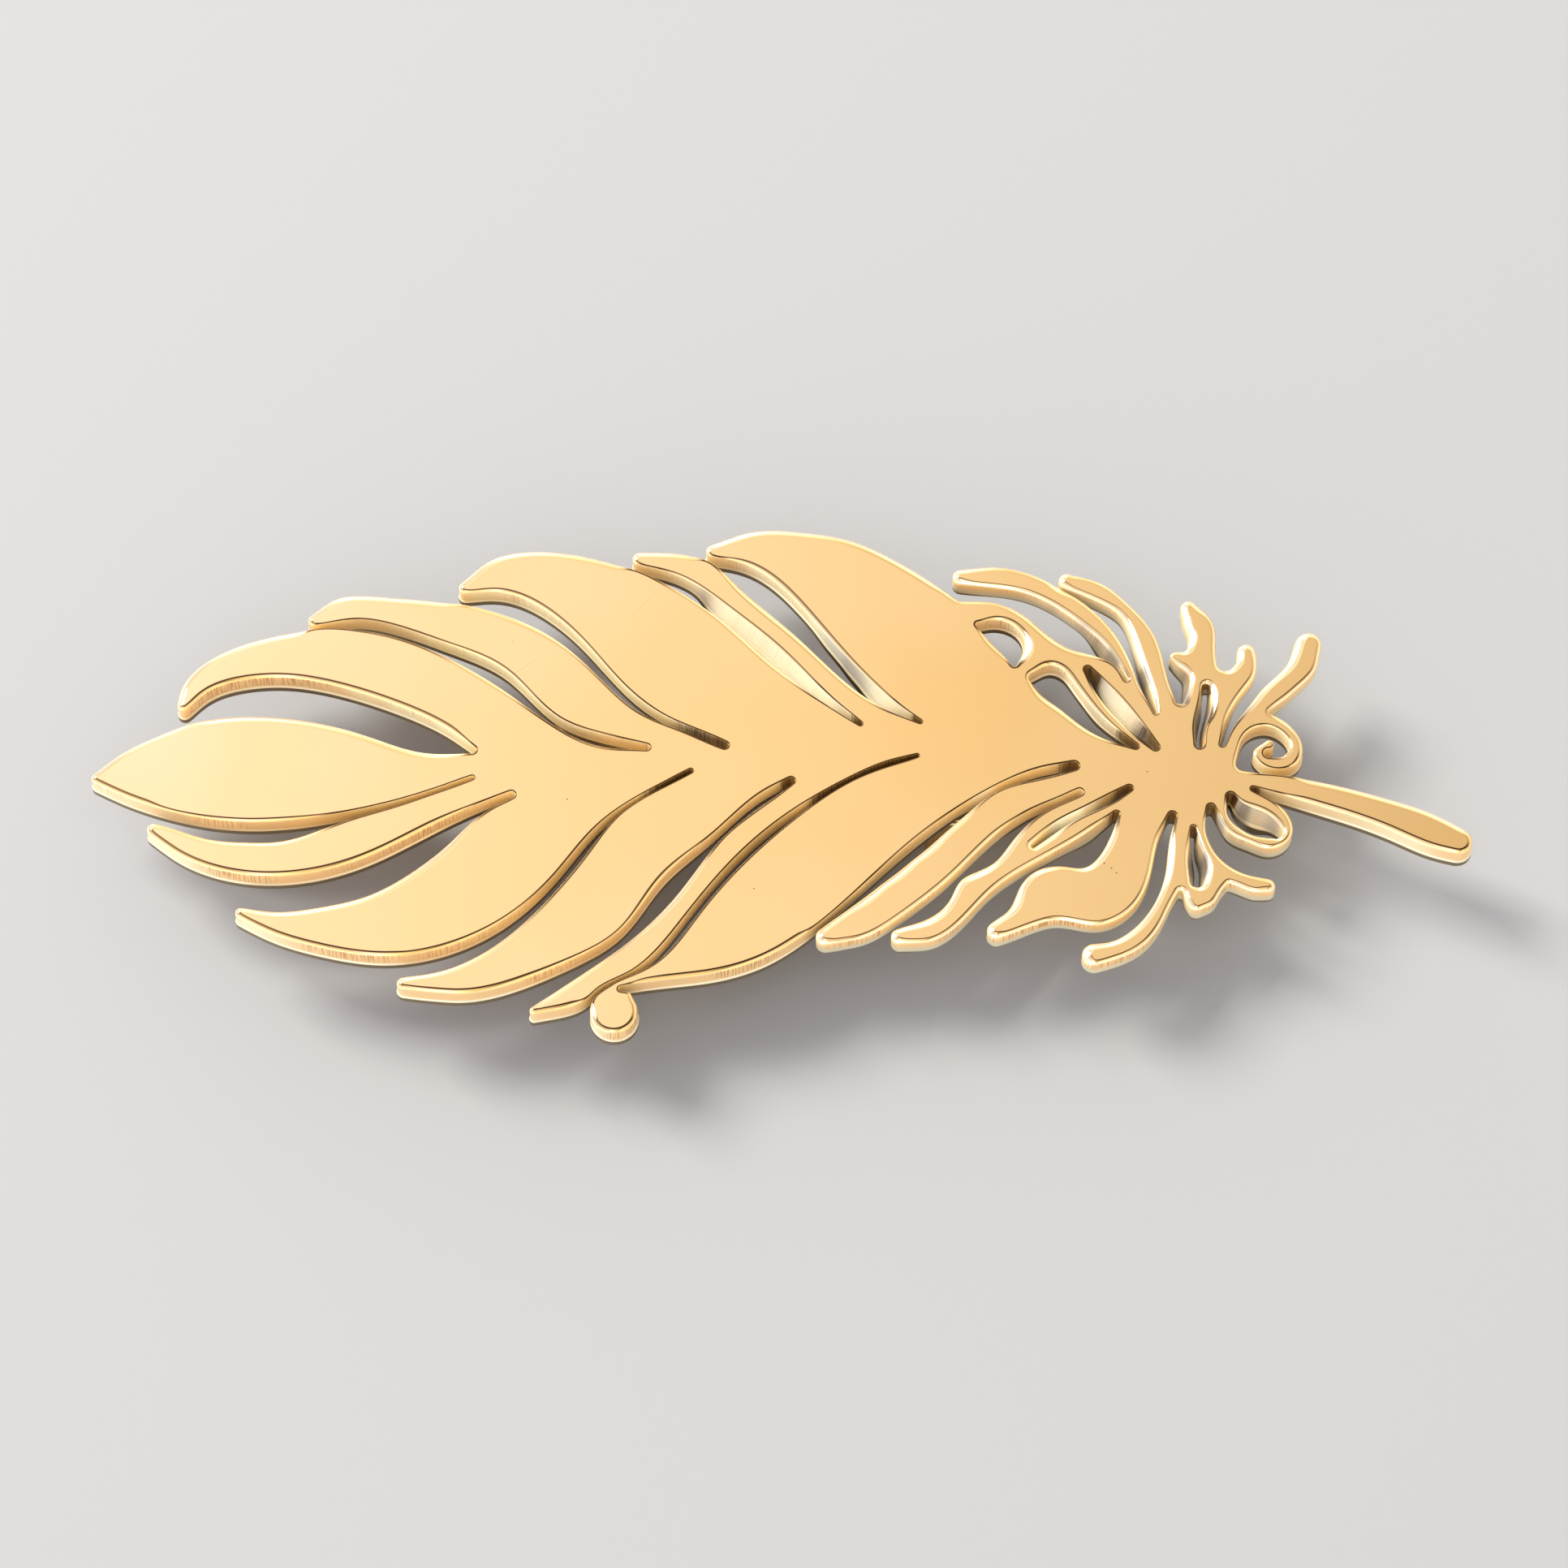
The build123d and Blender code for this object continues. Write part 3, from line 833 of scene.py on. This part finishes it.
gold = {
    "face": (0.985, 0.625, 0.255, 1.0),
    "facePale": (1.0, 0.66, 0.30, 1.0),
    "wall": (1.0, 0.66, 0.30, 1.0),
    "sawMark": (0.52, 0.22, 0.06, 1.0),
    "slit": (0.96, 0.73, 0.34, 1.0),
    "slitDark": (0.66, 0.47, 0.19, 1.0),
    "cream": (1.0, 0.88, 0.54, 1.0),         # painted highlight on walls that stand upright in the light
    "slopeHighlight": (0.95, 0.92, 0.84, 1.0),   # and painted highlight on walls that slope
    "deep": (0.33, 0.165, 0.022, 1.0),       # painted shade in the ends of the cuts
    # painted shade in the saw strokes at the ends of the cuts
    "cutEndShadeStroke": (0.06, 0.025, 0.005, 1.0),
    "line": (0.10, 0.045, 0.012, 1.0),       # painted shade: the dark line along the face's edge; also the real pits and scratches
    # painted grey reflection on the strands' sides
    "smoke": (0.47, 0.41, 0.32, 1.0),
    "pale": (0.98, 0.86, 0.64, 1.0),         # painted highlight: a paler colour on edges at the upper left, and on the strands
    # painted highlight on the lip at the foot of the walls
    "rim": (0.78, 0.69, 0.46, 1.0),
    # painted shade at the foot of the walls, under the lip
    "footShade": (0.24, 0.18, 0.10, 1.0),
    "back": (0.86, 0.60, 0.30, 1.0),
    "pin": (0.90, 0.66, 0.34, 1.0),
}


# millimetres over the floor, or along the feather, between which a look of the edge fades
fades = {
    "face": (5.69, 5.785),
    "sawMarks": (4.80, 4.95),
    # where the painted highlight on the lip fades
    "barbLipHighlight": (4.80, 4.88),
    "strandLipHighlight": (5.00, 5.25),
    "barbFootShade": (4.66, 4.70),
    # where the painted shade under the strands fades
    "strandFoot": (4.55, 4.80),
    "quill": (22.5, 24.0),             # along the feather
}


# plainer golds: their colour, the scales of their grain and clouds, and how rough and how grainy they are
grained = {
    "castGold": {"colour": gold["back"], "grain": 5000.0, "clouds": 220.0, "rough": 0.2, "bumps": 0.4},
    "tumbledGold": {"colour": gold["pin"], "grain": 3500.0, "clouds": 400.0, "rough": 0.15, "bumps": 0.3},
}


faceHeight = 5.8   # mm over the floor


# small pits in the face: place and radius in mm
pitPlaces = (
    (-0.11, 10.62, 0.045),
    (-10.76, -1.31, 0.05),
    (-1.32, -6.24, 0.045),
    (16.29, -4.86, 0.05),
    (16.65, -5.13, 0.05),
    (16.89, -5.39, 0.045),
    (18.58, 0.23, 0.045),
    (-13.69, 7.58, 0.03),
)


# hairline scratches, from one end to the other in mm
scratches = (
    ((-14.86, 4.83), (-12.29, 6.68)),
    ((-7.59, 8.99), (-6.36, 10.62)),
    ((-13.81, 8.04), (-13.75, 7.8)),
)


def carried(start, name):  # a share that the mesh carries from point to point
    return start.node("ShaderNodeAttribute", {"attribute_name": name}, output="Fac")


def awayFrom(place, spot):  # the distance from a spot on the face
    centre = (spot[0] * mm, spot[1] * mm, faceHeight * mm)
    return place.node("ShaderNodeVectorMath", {"operation": "DISTANCE"}, {0: place, 1: centre}, "Value")


def polishedGold():
    material, start = newMaterial("polishedGold")
    place = start.node("ShaderNodeTexCoord", output="Object")
    clouds = noise(place, 60.0, 2.0)
    fine = noise(place, 2500.0, 4.0)
    colour = clouds.soft(0.35, 0.65).mix(gold["face"], gold["facePale"])
    edgeMap = start.node("ShaderNodeUVMap", {"uv_map": "edge"})
    v = start.node("ShaderNodeSeparateXYZ", None, {"Vector": edgeMap}, "Y")
    side = 1.0 - v.soft(*fades["face"])
    # painted highlight: paler gold on edges facing the upper left and on the strands
    pale = carried(start, "pale") * side
    colour = pale.mix(colour, gold["pale"])
    # painted grey reflection on the edges
    colour = (carried(start, "smoke") * side * 0.9).mix(colour, gold["smoke"])
    # painted shade line along the face's edge, with the real pits and scratches added below
    marksAndShade = carried(start, "line")
    for x, y, radius in pitPlaces:
        away = awayFrom(place, (x, y))
        marksAndShade = marksAndShade.math("MAXIMUM", 1.0 - away.soft(0.4 * radius * mm, radius * mm))
    for first, last in scratches:   # a spot is on a scratch where its two distances add up to the length
        spare = awayFrom(place, first) + awayFrom(place, last) - math.dist(first, last) * mm
        marksAndShade = marksAndShade.math("MAXIMUM", (1.0 - spare.soft(0.00000002, 0.0000002)) * 0.25)
    colour = marksAndShade.mix(colour, gold["line"])
    finishMaterial(start, {"Base Color": colour, "Metallic": 1.0,
                           "Roughness": fine * 0.03 + 0.05 + pale * 0.2,
                           "Normal": bumps(clouds * 0.3 + fine * 0.02, 0.5, 0.000003)})
    return material


def sawnGold():
    material, start = newMaterial("sawnGold")
    edgeMap = start.node("ShaderNodeUVMap", {"uv_map": "edge"})
    u = start.node("ShaderNodeSeparateXYZ", None, {"Vector": edgeMap})
    v = u.out("Y")
    drawnOut = start.node("ShaderNodeCombineXYZ", None, {"X": u * 12.0, "Y": v * 0.4, "Z": 0.0})
    strokes = noise(drawnOut, 1.0, 0.0)
    patch = noise(edgeMap, 0.16, 1.0)
    names = ("open", "deep", "cream", "slope", "lip", "strand", "smoke")
    free, end, cream, slope, lip, strand, smoke = (carried(start, name) for name in names)
    place = start.node("ShaderNodeTexCoord", output="Object")
    x = start.node("ShaderNodeSeparateXYZ", None, {"Vector": place})
    quill = x.soft(fades["quill"][0] * mm, fades["quill"][1] * mm)
    sawn = patch.soft(0.45, 0.54) * free * v.soft(*fades["sawMarks"]) * (1.0 - cream * 0.7) * (1.0 - quill)
    # saw strokes, which are real, darkened to painted shade at the ends of the cuts
    marksAndShade = strokes.soft(0.50, 0.60) * (sawn * 0.6).math("MAXIMUM", end.soft(0.1, 0.5) * 0.55)

    colour = (1.0 - patch.soft(0.40, 0.60)).mix(gold["slit"], gold["slitDark"])
    colour = free.mix(colour, gold["wall"])
    # painted highlight on walls that face the light
    colour = cream.mix(colour, slope.mix(gold["cream"], gold["slopeHighlight"]))
    # painted shade in the ends of the cuts
    colour = (end.soft(0.3, 1.0) * 0.9).mix(colour, gold["deep"])
    colour = marksAndShade.mix(colour, end.soft(0.1, 0.5).mix(gold["sawMark"], gold["cutEndShadeStroke"]))
    # painted highlight on the lip at the wall's foot, under the barbs and the strands
    barbLipHighlight = (1.0 - v.soft(*fades["barbLipHighlight"])) * lip
    strandLipHighlight = (1.0 - v.soft(*fades["strandLipHighlight"])) * strand
    colour = barbLipHighlight.math("MAXIMUM", strandLipHighlight).mix(colour, gold["rim"])
    # painted shade at the foot of the walls and under the strands
    barbFootShade = (1.0 - v.soft(*fades["barbFootShade"])) * (1.0 - strand)
    foot = barbFootShade + (1.0 - v.soft(*fades["strandFoot"])) * strand
    colour = foot.mix(colour, gold["footShade"])
    # painted grey reflection on the walls
    colour = (smoke * 0.8).mix(colour, gold["smoke"])

    shiny = (free * 0.2 + 0.15) * (1.0 - cream * (1.0 - slope))
    finishMaterial(start, {"Base Color": colour, "Metallic": foot * 0.4 + end * 0.3 + slope * 0.5 + shiny,
                           "Roughness": strokes * 0.1 + 0.32, "Specular IOR Level": 0.25,
                           "Normal": bumps(strokes * free, 0.15, 0.00001)})
    return material


def grainedGold(name):
    finish = grained[name]
    material, start = newMaterial(name)
    place = start.node("ShaderNodeTexCoord", output="Object")
    grain = noise(place, finish["grain"], 5.0)
    clouds = noise(place, finish["clouds"], 3.0)
    colour = clouds.soft(0.3, 0.7).mix(finish["colour"], gold["face"])
    finishMaterial(start, {"Base Color": colour, "Metallic": 1.0,
                           "Roughness": clouds * finish["rough"] + finish["rough"],
                           "Normal": bumps(grain, finish["bumps"], 0.00001)})
    return material


# the pin back, in mm

pin = {
    "node": "brooch_pin",
    "name": "finished_pin",
    "bar": {"middle": (-1.4145, 0.8273), "size": (24.0, 2.6), "height": (3.35, 4.15), "rounding": 0.16},
    "hinge": {"middle": (9.0855, 0.8273), "size": (3.4, 5.0), "height": (0.0, 3.6), "rounding": 0.32},
    "catch": {"middle": (-11.9145, 0.8273), "size": (2.6, 5.0), "height": (0.0, 3.6), "rounding": 0.32},
    "slot": {"width": 1.2, "height": 1.675, "through": 4.0, "reach": 5.0},   # in the catch, open at its side
    "wire": {"radius": 0.4, "height": 1.675, "from": 9.0855, "to": -15.2145, "point": 2.2, "tip": 0.05},
    # the point: how far along it, and how wide the wire still is there
    "taper": ((0.35, 0.88), (0.65, 0.66), (0.88, 0.36)),
    "hairInside": 0.003,
}


def applyModifiers(obj):
    activate(obj)
    for modifier in list(obj.modifiers):
        bpy.ops.object.modifier_apply(modifier=modifier.name)


def boxPiece(name, middle, size, height, rounding):
    low, high = height
    x, y = middle
    clearSelection()
    bpy.ops.mesh.primitive_cube_add(size=mm, location=(x * mm, y * mm, (low + high) / 2.0 * mm))
    box = bpy.context.object
    box.name = name
    bpy.ops.transform.resize(value=(size[0], size[1], high - low))
    bpy.ops.object.transform_apply(location=True, rotation=True, scale=True)
    if rounding:
        bevel = box.modifiers.new("rounding", "BEVEL")
        bevel.width = rounding * mm
        bevel.segments = 5
        applyModifiers(box)
    return box


def rodPiece(name, radius, first, last, y, z):  # a rod along X
    clearSelection()
    bpy.ops.mesh.primitive_cylinder_add(vertices=48, radius=radius * mm, depth=abs(last - first) * mm,
                                        location=((first + last) / 2.0 * mm, y * mm, z * mm),
                                        rotation=(0.0, math.radians(90.0), 0.0))
    rod = bpy.context.object
    rod.name = name
    bpy.ops.object.transform_apply(location=True, rotation=True, scale=True)
    return rod


def combine(obj, other, operation):
    joint = obj.modifiers.new("joint", "BOOLEAN")
    joint.operation = operation
    joint.solver = "EXACT"
    joint.object = other
    applyModifiers(obj)
    bpy.data.objects.remove(other)


def makeBar():  # a disc, drawn out to a bar with round ends
    spec = pin["bar"]
    low, high = spec["height"]
    length, width = spec["size"]
    x, y = spec["middle"]
    clearSelection()
    bpy.ops.mesh.primitive_circle_add(vertices=64, radius=width / 2.0 * mm, fill_type="NGON",
                                      location=(x * mm, y * mm, low * mm))
    bar = bpy.context.object
    bar.name = "pin_bar"
    bpy.ops.object.transform_apply(location=True, rotation=True, scale=True)
    half = (length - width) / 2.0 * mm
    for vertex in bar.data.vertices:
        side = vertex.co.x - x * mm
        vertex.co.x += math.copysign(half, side) if abs(side) > 1e-8 else 0.0
    bpy.ops.object.mode_set(mode="EDIT")
    bpy.ops.mesh.select_all(action="SELECT")
    bpy.ops.mesh.extrude_region_move(TRANSFORM_OT_translate={"value": (0.0, 0.0, (high - low) * mm)})
    bpy.ops.mesh.select_all(action="SELECT")
    bpy.ops.mesh.normals_make_consistent(inside=False)
    bpy.ops.object.mode_set(mode="OBJECT")
    bevel = bar.modifiers.new("rounding", "BEVEL")
    bevel.width = spec["rounding"] * mm
    bevel.segments = 4
    bevel.limit_method = "ANGLE"
    bevel.angle_limit = math.radians(50.0)
    applyModifiers(bar)
    return bar


def makeCatch():
    slot = pin["slot"]
    catch = boxPiece("pin_catch", **pin["catch"])
    x, y = pin["catch"]["middle"]
    half = slot["width"] / 2.0
    opening = boxPiece("slot", (x, y - slot["reach"] / 2.0), (slot["through"], slot["reach"]),
                       (slot["height"] - half, slot["height"] + half), 0.0)
    end = rodPiece("slotEnd", half, x - slot["through"] / 2.0, x + slot["through"] / 2.0, y, slot["height"])
    combine(opening, end, "UNION")
    combine(catch, opening, "DIFFERENCE")
    return catch


def makeWire():
    spec = pin["wire"]
    y = pin["bar"]["middle"][1]
    wire = rodPiece("pin_wire", spec["radius"], spec["from"], spec["to"] + spec["point"], y, spec["height"])
    bpy.ops.object.mode_set(mode="EDIT")
    bpy.ops.mesh.select_all(action="DESELECT")
    bpy.ops.mesh.select_mode(type="FACE")
    bpy.ops.object.mode_set(mode="OBJECT")
    for polygon in wire.data.polygons:
        polygon.select = polygon.normal.x < -0.9
    bpy.ops.object.mode_set(mode="EDIT")
    gone, before = 0.0, 1.0
    for along, width in pin["taper"] + ((1.0, spec["tip"] / spec["radius"]),):
        step = (along - gone) * spec["point"] * mm
        bpy.ops.mesh.extrude_region_move(TRANSFORM_OT_translate={"value": (-step, 0.0, 0.0)})
        bpy.ops.transform.resize(value=(1.0, width / before, width / before))
        gone, before = along, width
    bpy.ops.object.mode_set(mode="OBJECT")
    return wire


def makePin():
    bar = makeBar()
    for other in (boxPiece("pin_hinge", **pin["hinge"]), makeCatch(), makeWire()):
        combine(bar, other, "UNION")
    activate(bar)
    bar.name = pin["name"]
    low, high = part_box(pin["node"])
    hair = pin["hairInside"] * mm
    for vertex in bar.data.vertices:   # nothing stands out of the box of the solid
        vertex.co = Vector([min(max(c, a + hair), b - hair) for c, a, b in zip(vertex.co, low, high)])
    bpy.ops.object.shade_smooth_by_angle(angle=math.radians(35.0))
    bar.data.materials.clear()
    bar.data.materials.append(grainedGold("tumbledGold"))
    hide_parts(pin["node"])
    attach(bar, "root")
    print("pin made:", len(bar.data.polygons), "faces")


makeCamera()
makeFloor()
makeStudio()
makeKeyLamp()
makeFeather()
makePin()
